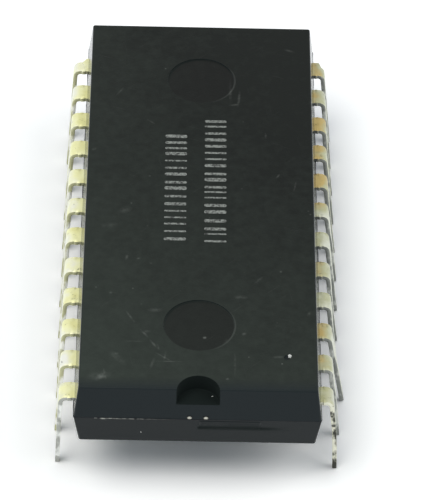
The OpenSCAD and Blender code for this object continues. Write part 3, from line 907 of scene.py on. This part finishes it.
@dataclass
class MouldedBody:
    """The epoxy moulding: two drafted halves, the notch, the ejector marks and the broken gate."""

    length: float = 31.75
    width: float = 13.97
    upper: float = 2.15
    lower: float = 2.15
    draft: float = 7.6
    corner: float = 0.12
    rim: float = 0.12
    parting: float = 5.73018
    notch_radius: float = 1.21
    notch_depth: float = 1.06
    notch_in: float = 0.13
    notch_fillet: float = 0.06
    mark_diameter: float = 4.05
    mark_depth: float = 0.05
    mark_spacing: float = 21.05
    gate: tuple[float, float, float] = (3.45, 0.7, 0.04)  # width, height and how far it stands proud
    gate_corner: tuple[float, float] = (0.1, 0.1)  # from the middle of the end, and below the parting line
    pit: tuple[float, float, float] = (4.98, -12.97, 0.2)  # place on the top, and radius
    smooth_angle: float = 28.0  # degrees
    flat_area: float = 0.4  # mm2 of the smallest face that is shaded flat
    finish: MouldedEpoxy = field(default_factory=MouldedEpoxy)

    @property
    def top(self) -> float:
        """Height of the top face."""
        return self.parting + self.upper

    @property
    def bottom(self) -> float:
        """Height of the underside."""
        return self.parting - self.lower

    def build(self, inserts: Sequence[Object]) -> Object:
        """Models the body round the parts that it was moulded over.

        Args:
            inserts: The lead frame, the die and its wires.

        Returns:
            The body, dressed and riding on the root.
        """
        body = self.halves()
        cut(body, self.gate_scar(), "UNION")
        for tool in (self.notch(), *self.marks(), self.crater()):
            cut(body, tool)
        self.make_room(body, inserts)
        clean(body)
        shade(body, self.smooth_angle)
        with editing():
            select_parts(body, "FACE", lambda face: face.calc_area() > self.flat_area * MM * MM)
            bpy.ops.mesh.faces_shade_flat()
        dress(body, self.finish.material())
        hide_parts("moulded_body")
        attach(body, "root")
        return body

    def halves(self) -> Object:
        """Returns the two drafted halves, shaped from one block that is split at the parting line."""
        height = self.upper + self.lower
        bpy.ops.mesh.primitive_cube_add(size=1, location=(0, 0, (self.top + self.bottom) / 2 * MM),
                                        scale=(self.width * MM, self.length * MM, height * MM))
        body = added("moulded_body_epoxy")
        with editing():
            bpy.ops.mesh.select_all(action="SELECT")
            bpy.ops.mesh.bisect(plane_co=(0, 0, self.parting * MM), plane_no=(0, 0, 1))
            for half in Half:
                depth = self.upper if half is Half.UPPER else self.lower
                level = (self.parting + half.value * depth) * MM
                inset = 2 * depth * math.tan(math.radians(self.draft))
                select_parts(body, "FACE", lambda face: abs(face.calc_center_median().z - level) < 1e-6)
                bpy.ops.transform.resize(value=(1 - inset / self.width, 1 - inset / self.length, 1))
            select_parts(body, "EDGE", lambda edge: abs(edge.verts[0].co.z - edge.verts[1].co.z) > 1e-4)
            bpy.ops.mesh.bevel(offset=self.corner * MM, segments=6, profile=0.5)
            offset = self.rim * math.tan(math.radians(45 - self.draft / 2))
            select_parts(body, "EDGE", lambda edge: all(
                min(abs(v.co.z - self.top * MM), abs(v.co.z - self.bottom * MM)) < 1e-6 for v in edge.verts))
            bpy.ops.mesh.bevel(offset=offset * MM, segments=5, profile=0.5)
        return body

    def notch(self) -> Object:
        """Returns the tool that cuts the notch, with its floor rounded into the wall."""
        place = (0, self.notch_in - self.length / 2, self.top)
        return punch("notch_tool", place, self.notch_radius, self.notch_depth, Half.UPPER,
                     self.notch_fillet, 5)

    def marks(self) -> list[Object]:
        """Returns the four tools that cut the ejector marks, each with a slightly rounded floor."""
        tools = []
        for half in Half:
            face = self.top if half is Half.UPPER else self.bottom
            for end in (-1, 1):
                place = (0, end * self.mark_spacing / 2, face)
                tools.append(punch("mark_tool", place, self.mark_diameter / 2, self.mark_depth, half,
                                   self.mark_depth * 0.6, 2))
        return tools

    def gate_scar(self) -> Object:
        """Returns the stub left where the moulding was snapped off its runner, with a rough broken face."""
        wide, high, proud = self.gate
        side, drop = self.gate_corner
        buried = 0.2
        slope = math.tan(math.radians(self.draft))
        middle = self.parting - drop - high / 2
        bpy.ops.mesh.primitive_grid_add(x_subdivisions=28, y_subdivisions=7, size=1)
        stub = bpy.context.object
        stub.scale = (wide * MM, high * MM, 1)
        stub.rotation_euler = (math.radians(90), 0, 0)
        stub.location = ((side + wide / 2) * MM, (-self.length / 2 + buried) * MM, middle * MM)
        stub = added("gate_scar")
        with editing():
            bpy.ops.mesh.select_all(action="SELECT")
            bpy.ops.mesh.extrude_region_move(TRANSFORM_OT_translate={"value": (0, -buried * MM, 0)})
        front = (-self.length / 2 + buried / 2) * MM
        for vertex in stub.data.vertices:
            if vertex.co.y < front:
                spot = vertex.co / MM
                wall = -self.length / 2 + (self.parting - spot.z) * slope
                down = (self.parting - drop - spot.z) / high
                rough = 0.75 + 0.55 * ripple(spot, 0.45, 2.0) + 0.35 * ripple(spot, 0.16, 5.0)
                vertex.co.y = (wall - max(proud * rough * down, 0.002)) * MM
        clean(stub)
        return stub

    def crater(self) -> Object:
        """Returns the tool for the one pit in the top face."""
        x, y, radius = self.pit
        bpy.ops.mesh.primitive_ico_sphere_add(subdivisions=3, radius=radius * MM,
                                              location=(x * MM, y * MM, (self.top + radius * 0.25) * MM))
        tool = added("pit_tool")
        for vertex in tool.data.vertices:
            vertex.co.x += ripple(vertex.co / MM, 0.08, 4.0) * radius * 0.3 * MM
            vertex.co.y += ripple(vertex.co / MM, 0.08, 9.0) * radius * 0.3 * MM
        return tool

    def make_room(self, body: Object, inserts: Sequence[Object]) -> None:
        """Cuts the space of the moulded-in parts from the body.

        Args:
            body: The body.
            inserts: The parts, which are left as they are.
        """
        tools = bpy.data.collections.new("insert_tools")
        bpy.context.scene.collection.children.link(tools)
        for part in inserts:
            tool = copied(part, "insert_tool")
            tool.modifiers.clear()
            clean(tool)
            bpy.context.scene.collection.objects.unlink(tool)
            tools.objects.link(tool)
        apply_modifier(body, "BOOLEAN", operation="DIFFERENCE", operand_type="COLLECTION", collection=tools,
                       solver="EXACT")
        for tool in list(tools.objects):
            bpy.data.objects.remove(tool)
        bpy.data.collections.remove(tools)


# The lead frame


@dataclass(frozen=True)
class LeadForm:
    """How one lead was formed and what has happened to it since."""

    splay: float  # degrees from upright
    lean: float  # mm along the row at the tip
    bow: float  # mm outwards at the middle of the leg
    cut_start: float = 0.0  # mm from the wall to a slanting cut on the far side, or 0 for none
    cut_run: float = 0.0


@dataclass
class LeadStrip:
    """The stamped strip of a lead before it is formed: finger, shoulder, leg and tip, with rounded edges."""

    thickness: float = 0.25
    shoulder_width: float = 1.22
    leg_width: float = 0.46
    tip_width: float = 0.26
    tip_length: float = 0.4
    shoulder: float = 0.345
    bend: float = 0.48
    wide: float = 1.2
    step: float = 0.9
    leg: float = 5.56
    stub: float = 0.03  # how far the trimmed dam bar stands out on each side
    rounding: float = 0.028
    columns: int = 4

    def outer_stations(self) -> list[tuple[float, float]]:
        """Returns distance from the wall and width, from the wall out to the tip."""
        bend_end = self.shoulder + self.bend
        stations = [(0.0, 0.0), (0.1, 0.0), (0.115, 2 * self.stub), (0.27, 2 * self.stub), (0.285, 0.0),
                    (self.shoulder, 0.0)]
        stations += [(self.shoulder + self.bend * k / 8, 0.0) for k in range(1, 9)]
        stations += [(bend_end + self.wide * k / 4, 0.0) for k in range(1, 5)]
        outer = [(reach, self.shoulder_width + extra) for reach, extra in stations]
        fall = self.shoulder_width - self.leg_width
        for k in range(1, 7):
            t = k / 6
            ease = t * t * (3 - 2 * t) * 0.5 + t * 0.5
            outer.append((bend_end + self.wide + self.step * t, self.shoulder_width - fall * ease))
        thin = self.wide + self.step
        straight = self.leg - self.tip_length - thin
        outer += [(bend_end + thin + straight * k / 8, self.leg_width) for k in range(1, 9)]
        fall = self.leg_width - self.tip_width
        tip = bend_end + self.leg
        outer += [(tip - self.tip_length * (1 - t), self.leg_width - fall * t) for t in (0.4, 0.75, 1)]
        return outer

    def build(self, inner: Sequence[tuple[float, float]], name: str) -> Object:
        """Models the strip flat: length along X from the wall, width along Y and thickness along Z.

        Args:
            inner: Distance from the wall, below 0, and width of the finger from its tip to the wall.
            name: Name of the object.

        Returns:
            The strip.
        """
        stations = [*inner, *self.outer_stations()]
        (start, width), (following, next_width) = stations[:2]
        bpy.ops.mesh.primitive_grid_add(x_subdivisions=1, y_subdivisions=self.columns, size=1)
        strip = bpy.context.object
        strip.scale = ((following - start) * MM, width * MM, 1)
        strip.location = ((start + following) / 2 * MM, 0, 0)
        strip = added(name)
        with editing():
            inner_end = (following - 1e-4) * MM
            select_parts(strip, "EDGE", lambda edge: all(v.co.x > inner_end for v in edge.verts))
            bpy.ops.transform.resize(value=(1, next_width / width, 1))
            for (here, wide), (there, wider) in zip(stations[1:], stations[2:]):
                move = {"value": ((there - here) * MM, 0, 0)}
                bpy.ops.mesh.extrude_region_move(TRANSFORM_OT_translate=move)
                bpy.ops.transform.resize(value=(1, wider / wide, 1))
            bpy.ops.mesh.select_all(action="SELECT")
            bpy.ops.mesh.extrude_region_move(TRANSFORM_OT_translate={"value": (0, 0, self.thickness * MM)})
            bpy.ops.mesh.select_all(action="SELECT")
            bpy.ops.mesh.normals_make_consistent(inside=False)
        apply_modifier(strip, "BEVEL", width=self.rounding * MM, segments=2, limit_method="ANGLE",
                       angle_limit=math.radians(50))
        return strip


@dataclass
class LeadFrame:
    """The 24 leads, cut from one etched sheet, moulded in, dipped and formed."""

    strip: LeadStrip = field(default_factory=LeadStrip)
    pitch: float = 2.54
    wall: float = 6.985
    bend_radius: float = 0.2
    row_shift: float = 0.09
    leg: float = 5.53
    bend_height: float = 5.53018
    neck_in: float = 0.4
    neck_length: float = 0.5
    neck_width: float = 0.76
    neck_slope: float = 0.1
    finger_width: float = 0.8
    finger_tip_width: float = 0.42
    side_tip_pitch: float = 1.1
    end_tip_pitch: float = 0.7
    side_tip_x: float = 3.3
    end_tip_x: float = 1.16
    end_tip_y: float = 3.75
    knees: tuple[float, ...] = (1.8, 1.4, 1.15, 1.15, 1.4, 2.1)
    rises: tuple[float, ...] = (0, 0, 0, 0.9, 2.2, 5.2)
    side_steps: tuple[float, ...] = (0, 0, 0, 0.35, 0.35, 0.3)
    forms: tuple[LeadForm, ...] = tuple(starmap(LeadForm, (
        (4.2, -0.02, 0.07), (6.4, 0.05, 0.03), (9.7, 0.24, 0.02), (6.7, -0.04, 0.0), (6.8, 0.12, -0.02),
        (7.3, 0.12, 0.02), (7.4, 0.1, 0.03), (7.0, 0.03, -0.01), (6.7, 0.06, 0.02), (6.4, 0.1, 0.0),
        (6.0, 0.02, 0.02), (5.8, 0.0, 0.01, 0.317, 0.125), (3.6, 0.0, 0.01, 0.08, 0.24), (4.0, -0.02, 0.02),
        (3.8, 0.05, -0.01), (4.2, 0.03, 0.02), (4.4, -0.04, 0.0), (4.1, 0.06, 0.02), (4.5, 0.02, -0.02),
        (4.2, -0.05, 0.01), (4.0, 0.04, 0.0), (3.8, 0.08, 0.02), (3.7, 0.03, 0.01), (2.5, 0.13, 0.02))))
    rough: float = 0.006
    smooth_angle: float = 35.0  # degrees

    def finger(self, rank: int) -> list[tuple[Vector, float]]:
        """Returns the points and widths of a finger from the wall in to its tip, in the quadrant +X +Y.

        Args:
            rank: The lead's place from the middle of its row.
        """
        y = (rank + 0.5) * self.pitch
        neck = self.wall - self.neck_in
        past = neck - self.neck_length
        wide, narrow = self.strip.shoulder_width, self.finger_tip_width
        if rank < 3:
            tip = Vector((self.side_tip_x, (rank + 0.5) * self.side_tip_pitch))
        else:
            tip = Vector((self.end_tip_x + (5 - rank) * self.end_tip_pitch, self.end_tip_y))
        points = [(Vector((self.wall, y)), wide), (Vector((neck, y)), wide),
                  (Vector((neck - self.neck_slope, y)), self.neck_width),
                  (Vector((past, y)), self.neck_width),
                  (Vector((past - self.neck_slope, y)), self.finger_width),
                  (Vector((self.wall - self.knees[rank], y)), self.finger_width)]
        if self.rises[rank]:
            points.append((tip + Vector((self.side_steps[rank], self.rises[rank])),
                           (self.finger_width + narrow) / 2))
        return [*points, (tip, narrow)]

    def build(self) -> list[Object]:
        """Stamps one strip for each rank, and forms a copy of it for each lead.

        Returns:
            The leads, dressed and riding on the root.
        """
        tins = {
            Row.LEFT: TarnishedTin(name="tin_hot_dipped_left_row").material(),
            # The right row's colours are darker and greyer than the left's: painted shade of the side turned
            # from the key light, with further tarnish round far_place.
            Row.RIGHT: TarnishedTin(
                name="tin_hot_dipped_right_row_painted_shade", tin="#D0D3C4", straw="#B6B896", ochre="#BEA96E",
                sheared="#D0D2CC", stain_and_shade="#8E918C", age=0.33, far_age=0.2, stained=0.4).material()}
        near = {
            1: TarnishedTin(
                name="tin_hot_dipped_near_right", tin="#C6C8B6", straw="#B9BA92", ochre="#ACA57C",
                sheared="#DADAC8", stain_and_shade="#3E3F38", stained=0.33, bend_stain_and_shade=-0.1,
                runs=(3.4, 3.4, 2.0)).material(),
            LEADS: TarnishedTin(
                name="tin_hot_dipped_near_left", tin="#E4E6D0", sheared="#E6E8E4", stain_and_shade="#A4A6A0",
                stained=0.32).material()}
        blanks = {}
        leads = []
        for number in range(1, LEADS + 1):
            row = Row.RIGHT if number <= PER_SIDE else Row.LEFT
            place = number - 1 if row is Row.RIGHT else LEADS - number
            offset = place - (PER_SIDE - 1) / 2
            rank = int(abs(offset) - 0.5)
            if rank not in blanks:
                blanks[rank] = self.stamped(rank)
            lead = copied(blanks[rank], f"lead_{number:02d}_strip")
            self.formed(lead, number, row, offset, rank)
            shade(lead, self.smooth_angle)
            dress(lead, near.get(number, tins[row]))
            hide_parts(f"lead_{number:02d}")
            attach(lead, "root")
            leads.append(lead)
        for blank in blanks.values():
            bpy.data.objects.remove(blank)
        return leads

    def stamped(self, rank: int) -> Object:
        """Returns the flat strip of one rank."""
        path = self.finger(rank)
        inner, run = [], 0.0
        for (before, _), (point, width) in zip(path, path[1:]):
            run += (point - before).length
            inner.append((-run, width))
        return self.strip.build(inner[::-1], f"lead_blank_{rank}")

    def formed(self, lead: Object, number: int, row: Row, offset: float, rank: int) -> None:
        """Bends a copy of the flat strip to the shape of one lead.

        Args:
            lead: The copy of the strip.
            number: Number of the lead.
            row: Its row.
            offset: Its place from the middle of the row, in pitches.
            rank: Its place from the middle of the row, counted from 0 to either end.
        """
        form = self.forms[number - 1]
        strip = self.strip
        end = 1 if offset > 0 else -1
        angle = math.radians(form.splay)
        neutral = self.bend_radius + strip.thickness / 2
        flat = strip.shoulder - row.value * self.row_shift
        bent = neutral * (math.pi / 2 - angle)
        length = self.leg + neutral * angle
        thin = strip.wide + strip.step
        nominal = [0, strip.shoulder, strip.shoulder + strip.bend]
        nominal += [nominal[-1] + d for d in (strip.wide, thin, strip.leg)]
        actual = [0, flat, flat + bent]
        actual += [actual[-1] + d for d in (strip.wide, thin, length)]
        path = self.finger(rank)
        below = self.bend_height + self.bend_radius
        seed = 3.1 * number
        for vertex in lead.data.vertices:
            run, across, up = vertex.co / MM
            if run < 0:
                spot = self.along_finger(path, -run, across * end)
                vertex.co = Vector((row.value * spot.x, end * spot.y, below + up)) * MM
                continue
            reach = stretched(run, nominal, actual)
            if form.cut_run and across > 0:
                half = strip.shoulder_width / 2
                share = min(max((reach - form.cut_start) / form.cut_run, 0), 1)
                limit = half + (strip.leg_width / 2 - half) * share
                across *= min(1, limit / self.half_width(run))
            if reach <= flat:
                x, z = self.wall + reach, below + up
            else:
                turn = min((reach - flat) / neutral, math.pi / 2 - angle)
                down = max(reach - flat - bent, 0)
                radius = self.bend_radius + up
                bow = form.bow * math.sin(math.pi * down / length)
                x = self.wall + flat + radius * math.sin(turn) + down * math.sin(angle) + bow
                z = self.bend_height + radius * math.cos(turn) - down * math.cos(angle)
                across += form.lean * max(down - thin, 0) / (length - thin)
                wave = Vector((x, across + 10 * number, z))
                x += self.rough * ripple(wave, 0.5, seed)
                across += self.rough * ripple(wave, 0.3, seed + 5)
            vertex.co = Vector((row.value * x, offset * self.pitch + across, max(z, 0))) * MM
        clean(lead)

    def half_width(self, run: float) -> float:
        """Returns half the width of the flat strip at a distance from the wall."""
        stations = self.strip.outer_stations()
        return stretched(run, [s for s, _ in stations], [w for _, w in stations]) / 2

    def along_finger(self, path: Sequence[tuple[Vector, float]], run: float, across: float) -> Vector:
        """Returns the place on a finger at a distance in from the wall and a distance across it."""
        points = [point for point, _ in path]
        sides = []
        for k, point in enumerate(points):
            before = (point - points[k - 1]).normalized() if k else (points[1] - point).normalized()
            after = (points[k + 1] - point).normalized() if k + 1 < len(points) else before
            way = (before + after).normalized()
            sides.append(Vector((way.y, -way.x)) / way.dot(before))
        for k in range(1, len(points)):
            step = (points[k] - points[k - 1]).length
            if run <= step or k == len(points) - 1:
                t = run / step
                return points[k - 1].lerp(points[k], t) + sides[k - 1].lerp(sides[k], t) * across
            run -= step
        return points[-1]


def stretched(value: float, known: Sequence[float], wanted: Sequence[float]) -> float:
    """Returns value moved from the scale of the known marks to that of the wanted ones."""
    for k in range(1, len(known)):
        if value <= known[k] or k == len(known) - 1:
            share = (value - known[k - 1]) / (known[k] - known[k - 1])
            return wanted[k - 1] + (wanted[k] - wanted[k - 1]) * share
    return value


@dataclass
class SealedParts:
    """The parts that the moulding hides: paddle, die attach, die and bond wires. Their solids are kept."""

    wires: int = LEADS

    def build(self) -> list[Object]:
        """Dresses the parts and returns them."""
        finishes = {
            "die_paddle": PlainMetal("iron_nickel_stamped", "#C4C3B8", "#8E8D84", 0.34, 0.05,
                                     ends=(0.46, 15.875, 5.855)),
            "die_attach": SilverEpoxy(),
            "silicon_die": PatternedSilicon(),
        }
        gold = PlainMetal("gold_drawn_wire", "#E8B85A", "#C8923A", 0.2, 0.01, 2).material()
        parts = []
        for name, finish in finishes.items():
            dress(frame["nodes"][name], finish.material())
            parts.append(frame["nodes"][name])
        for number in range(1, self.wires + 1):
            wire = frame["nodes"][f"bond_wire_{number:02d}"]
            dress(wire, gold)
            parts.append(wire)
        return parts


# What lies on the body


@dataclass
class Marking:
    """Two rows of plain ink bars along the top, printed and rubbed."""

    rows: tuple[float, ...] = (-1.45, 0.9)
    spans: tuple[tuple[float, float], ...] = ((-3.6, 5.9), (-3.7, 6.9))
    widths: tuple[float, float] = (0.1, 0.3)
    gaps: tuple[float, float] = (0.22, 0.5)
    reach: float = 1.3
    thick: float = 0.006
    rounding: float = 0.4  # share of a bar's width that its corners take
    top: float = 7.88018
    finish: WornInk = field(default_factory=WornInk)

    def build(self) -> Object:
        """Returns the bars as one piece, dressed and riding on the root."""
        bars = []
        for middle, (place, last) in zip(self.rows, self.spans):
            while place < last:
                width = random.uniform(*self.widths)
                bars.append(self.bar(middle, place + width / 2, width))
                place += width + random.uniform(*self.gaps)
        marking = joined(bars, "ink_bars")
        clean(marking)
        dress(marking, self.finish.material())
        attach(marking, "root")
        return marking

    def bar(self, x: float, y: float, width: float) -> Object:
        """Returns one bar with rounded corners at a place on the top."""
        bpy.ops.mesh.primitive_cube_add(size=1, location=(x * MM, y * MM, self.top * MM),
                                        scale=(self.reach * MM, width * MM, 2 * self.thick * MM))
        bar = added("ink_bar")
        with editing():
            select_parts(bar, "EDGE", lambda edge: abs(edge.verts[0].co.z - edge.verts[1].co.z) > 1e-6)
            bpy.ops.mesh.bevel(offset=self.rounding * width * MM, segments=3)
        return bar


@dataclass
class Crumb:
    """A pale crumb of epoxy that sticks to the body."""

    name: str
    place: tuple[float, float, float]
    radii: tuple[float, float, float]
    lumps: float = 0.5  # how far the surface swings in and out, as a share of the radius
    smooth_angle: float = 40.0  # degrees

    def build(self, material: Material) -> Object:
        """Returns the crumb with the material, riding on the root."""
        bpy.ops.mesh.primitive_ico_sphere_add(subdivisions=3, radius=MM, location=Vector(self.place) * MM,
                                              scale=self.radii)
        crumb = added(self.name)
        middle = Vector(self.place) * MM
        for vertex in crumb.data.vertices:
            vertex.co += (vertex.co - middle) * self.lumps * ripple(vertex.co / MM, 0.05, 3.0)
        shade(crumb, self.smooth_angle)
        dress(crumb, material)
        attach(crumb, "root")
        return crumb


@dataclass
class PartingFlash:
    """The thin fin of epoxy that bled between the two mould halves, broken off unevenly all round."""

    length: float = 31.75
    width: float = 13.97
    corner: float = 0.12
    height: float = 5.73018
    thickness: float = 0.02
    usual: float = 0.012  # how far it stands out where it broke off clean
    most: float = 0.045  # and how much further it may
    depth: float = 0.15  # how far it reaches into the body
    cuts: int = 180  # along each side
    tongue: tuple[float, float, float] = (-5.9, -1.2, 0.06)  # ends in X, and how far it stands out

    def build(self, material: Material) -> Object:
        """Models the fin.

        Args:
            material: Its finish.

        Returns:
            The fin, riding on the root.
        """
        bpy.ops.mesh.primitive_plane_add(size=1, location=(0, 0, self.height * MM))
        fin = bpy.context.object
        fin.scale = (self.width * MM, self.length * MM, 1)
        fin = added("parting_flash")
        with editing():
            bpy.ops.mesh.select_all(action="SELECT")
            bpy.ops.mesh.bevel(affect="VERTICES", offset=self.corner * MM, segments=5)
            select_parts(fin, "EDGE", lambda edge: edge.calc_length() > 5 * MM)
            bpy.ops.mesh.subdivide(number_cuts=self.cuts)
            bpy.ops.mesh.select_mode(type="FACE")
            bpy.ops.mesh.select_all(action="SELECT")
            bpy.ops.mesh.inset(thickness=self.depth * MM)
            bpy.ops.mesh.delete(type="FACE")
        for vertex in fin.data.vertices:
            spot = vertex.co / MM
            out = Vector((max(abs(spot.x) - self.width / 2 + self.corner, 0) * math.copysign(1, spot.x),
                          max(abs(spot.y) - self.length / 2 + self.corner, 0) * math.copysign(1, spot.y), 0))
            if out.length < self.corner - 0.01:
                continue
            proud = self.usual + self.most * max(ripple(spot, 1.3, 1.0) + 0.4 * ripple(spot, 0.25, 2.0), 0)
            first, last, tongue = self.tongue
            if spot.y < 0 and first < spot.x < last and abs(spot.y) > self.length / 2 - 0.1:
                fade = min(spot.x - first, last - spot.x, 0.4) / 0.4
                proud += tongue * fade * (0.7 + 0.5 * ripple(spot, 0.35, 7.0))
            vertex.co = (spot + out.normalized() * proud) * MM
        apply_modifier(fin, "SOLIDIFY", thickness=self.thickness * MM, offset=0.0)
        clean(fin)
        dress(fin, material)
        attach(fin, "root")
        return fin


# The stage


@dataclass
class PaperFloor:
    """A wide sheet of white paper."""

    side: float = 900.0

    def build(self) -> Object:
        """Returns the sheet."""
        bpy.ops.mesh.primitive_plane_add(size=self.side * MM)
        sheet = added("paper_sheet")
        dress(sheet, WhitePaper().material())
        return sheet


@dataclass(frozen=True)
class SoftLamp:
    """A round soft box aimed at the object."""

    name: str
    heading: float  # degrees from +X to the side that the lamp stands on
    elevation: float
    power: float
    size: float
    distance: float = 400.0
    tint: str = "#FFFDF9"

    def build(self) -> Object:
        """Returns the lamp."""
        around, up = math.radians(self.heading), math.radians(self.elevation)
        away = Vector((math.cos(around) * math.cos(up), math.sin(around) * math.cos(up), math.sin(up)))
        data = bpy.data.lights.new(self.name, "AREA")
        data.shape = "DISK"
        data.size = self.size * MM
        data.energy = self.power
        data.color = linear(self.tint)[:3]
        lamp = bpy.data.objects.new(self.name, data)
        lamp.rotation_euler = away.to_track_quat("Z", "Y").to_euler()
        lamp.location = away * self.distance * MM
        bpy.context.scene.collection.objects.link(lamp)
        return lamp


@dataclass
class StudioLight:
    """A large soft box from the left and front, a weaker one from the right, and an even cool sky."""

    key: SoftLamp = SoftLamp("key_soft_box", heading=217, elevation=65, power=0.75, size=280)
    fill: SoftLamp = SoftLamp("fill_soft_box", heading=-8, elevation=50, power=0.41, size=300)
    sky: str = "#E6EEF5"
    sky_strength: float = 0.49

    def build(self) -> None:
        """Sets up the lamps and the sky."""
        self.key.build()
        self.fill.build()
        world = bpy.data.worlds.new("even_sky")
        bpy.context.scene.world = world
        nodes = Nodes(world)
        sky = nodes.tree.nodes["Background"]
        nodes.feed(sky.inputs["Color"], self.sky)
        nodes.feed(sky.inputs["Strength"], self.sky_strength)
        nodes.show("Background", nodes.add("Background", (1, 1, 1, 1), 1.0), "World Output")


@dataclass
class PhotoCamera:
    """The camera, fitted to the corners of the body and the edges of the leads in the photograph."""

    azimuth: float = -1.135
    elevation: float = 43.849
    roll: float = 1.866
    distance: float = 213.93
    target: tuple[float, float, float] = (0.960, -2.240, 5.855)
    focal_pixels: float = 3639.8
    sensor: float = 36.0

    def build(self) -> Object:
        """Returns the camera, which is made the scene's."""
        turn, up, roll = (math.radians(a) for a in (self.azimuth, self.elevation, self.roll))
        back = Vector((math.sin(turn) * math.cos(up), -math.cos(turn) * math.cos(up), math.sin(up)))
        level = Vector((math.cos(turn), math.sin(turn), 0))
        upright = back.cross(level)
        right = math.cos(roll) * level + math.sin(roll) * upright
        above = back.cross(right)
        data = bpy.data.cameras.new("photo_camera")
        data.sensor_width = self.sensor
        data.lens = self.focal_pixels / max(PHOTO_SIZE) * self.sensor
        data.clip_start, data.clip_end = 0.01, 10
        camera = bpy.data.objects.new("photo_camera", data)
        place = (Vector(self.target) + back * self.distance) * MM
        camera.matrix_world = Matrix.Translation(place) @ Matrix((right, above, back)).transposed().to_4x4()
        bpy.context.scene.collection.objects.link(camera)
        bpy.context.scene.camera = camera
        return camera


def report(piece: Object) -> None:
    """Logs a finished piece with its number of faces."""
    log.info("%s: %d faces", piece.name, len(piece.data.polygons))


def main() -> None:
    """Builds the camera, the object, the floor and the light."""
    random.seed(SEED)
    bpy.context.scene.view_settings.view_transform = "Standard"
    PhotoCamera().build()
    leads = LeadFrame().build()
    sealed = SealedParts().build()
    body = MouldedBody().build([*leads, *sealed])
    flash = PartingFlash().build(ChippedEpoxy(whole="#14171B", stretch=(-5.8, -0.9)).material())
    pale = ChippedEpoxy(name="epoxy_dust_crumb", whole="#A9ABA6", pale="#E4E5E0").material()
    crumbs = [crumb.build(pale) for crumb in (
        Crumb("pit_crumb", (5.13, -12.86, 7.87), (0.1, 0.12, 0.07)),
        # A pale crumb where the notch floor shows only a small highlight: a painted highlight.
        Crumb("notch_highlight_crumb", (0.79, -15.1, 6.83), (0.05, 0.03, 0.03)),
        Crumb("wall_crumb", (-3.17, -15.705, 4.46), (0.04, 0.02, 0.03)))]
    marking = Marking().build()
    for piece in (*leads, *sealed, body, flash, *crumbs, marking):
        report(piece)
    PaperFloor().build()
    StudioLight().build()


if __name__ == "__main__":
    main()
